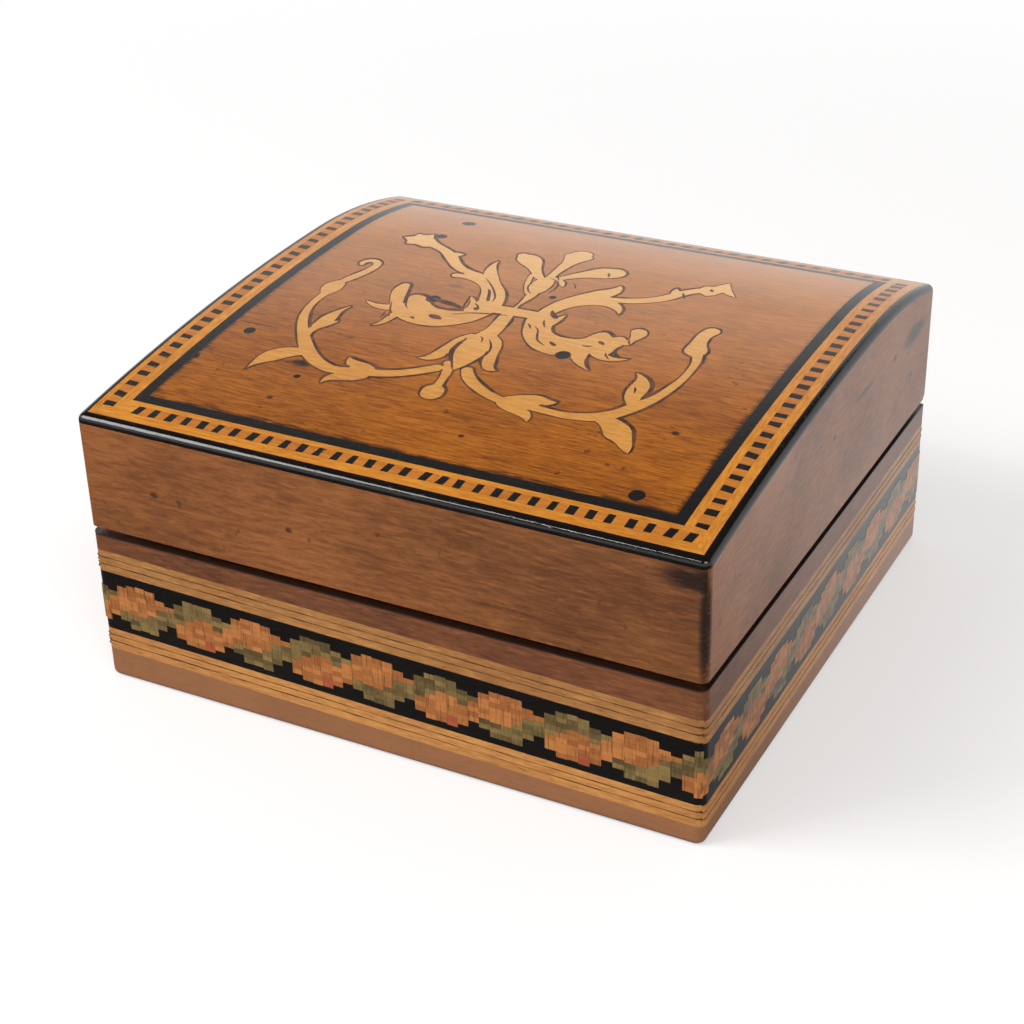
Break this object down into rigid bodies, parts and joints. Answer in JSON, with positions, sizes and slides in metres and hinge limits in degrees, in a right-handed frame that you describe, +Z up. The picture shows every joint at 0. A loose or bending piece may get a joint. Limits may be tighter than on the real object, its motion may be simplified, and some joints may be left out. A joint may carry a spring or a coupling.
{
  "type": "wooden puzzle box",
  "caption": "Small walnut trick box with a domed, hinged lid, light scroll inlay, ladder banding, mosaic bands and a hidden sliding bolt.",
  "frame": {"origin": "middle of the box's footprint, on the table", "axes": "+X to the right along the front, +Y to the back, +Z up"},
  "size_m": [0.101, 0.095, 0.0512],
  "materials": {
    "walnut": "satin varnish over walnut",
    "field_wood": "satin varnish over reddish veneer",
    "light_inlay": "satin varnish over light wood",
    "ladder": "light and black wood blocks under satin varnish",
    "black_string": "black-dyed wood under satin varnish",
    "dark_plug": "black-dyed wood under satin varnish",
    "mosaic": "stained wood tesserae on black",
    "plain_wood": "unvarnished softwood",
    "lining_paper": "dark red flock paper",
    "brass": "old satin brass"
  },
  "bodies": {
    "base": {"base_front_wall": "walnut", "base_right_wall": "walnut", "base_back_wall": "walnut", "base_left_wall": "walnut", "front_mosaic": "mosaic", "front_upper_stringing": "light_inlay", "front_lower_stringing": "light_inlay", "right_mosaic": "mosaic", "right_upper_stringing": "light_inlay", "right_lower_stringing": "light_inlay", "back_mosaic": "mosaic", "back_upper_stringing": "light_inlay", "back_lower_stringing": "light_inlay", "left_mosaic": "mosaic", "left_upper_stringing": "light_inlay", "left_lower_stringing": "light_inlay", "floor_board": "plain_wood", "floor_lining": "lining_paper", "base_front_lining": "plain_wood", "base_right_lining": "plain_wood", "base_back_lining": "plain_wood", "base_left_lining": "plain_wood", "slide_runners": "plain_wood", "base_hinge_leaf_left": "brass", "base_hinge_leaf_right": "brass", "hinge_pin_left": "brass", "hinge_pin_right": "brass", "base_hinge_screws": "brass"},
    "slide": {"slide_board": "plain_wood", "lock_bolt": "brass", "bolt_screws": "brass"},
    "lid": {"lid_front_wall": "walnut", "lid_right_wall": "walnut", "lid_back_wall": "walnut", "lid_left_wall": "walnut", "lid_top_board": "plain_wood", "field_veneer": "field_wood", "arabesque_inlay": "light_inlay", "face_plugs": "dark_plug", "front_edge_string": "black_string", "front_ladder_banding": "ladder", "front_inner_string": "black_string", "right_edge_string": "black_string", "right_ladder_banding": "ladder", "right_inner_string": "black_string", "back_edge_string": "black_string", "back_ladder_banding": "ladder", "back_inner_string": "black_string", "left_edge_string": "black_string", "left_ladder_banding": "ladder", "left_inner_string": "black_string", "lid_front_lining": "plain_wood", "lid_right_lining": "plain_wood", "lid_back_lining": "plain_wood", "lid_left_lining": "plain_wood", "ceiling_lining": "lining_paper", "keeper_pin": "brass", "lid_hinge_leaf_left": "brass", "lid_hinge_leaf_right": "brass", "lid_hinge_screws": "brass"}
  },
  "joints": [
    {"name": "lid_hinge", "type": "hinge", "parent": "base", "child": "lid", "pos_m": [0, 0.0461, 0.0265], "axis": [-1, 0, 0], "range_deg": [0, 95]},
    {"name": "bolt_slide", "type": "slide", "parent": "base", "child": "slide", "axis": [-1, 0, 0], "range_m": [0, 0.008]}
  ]
}
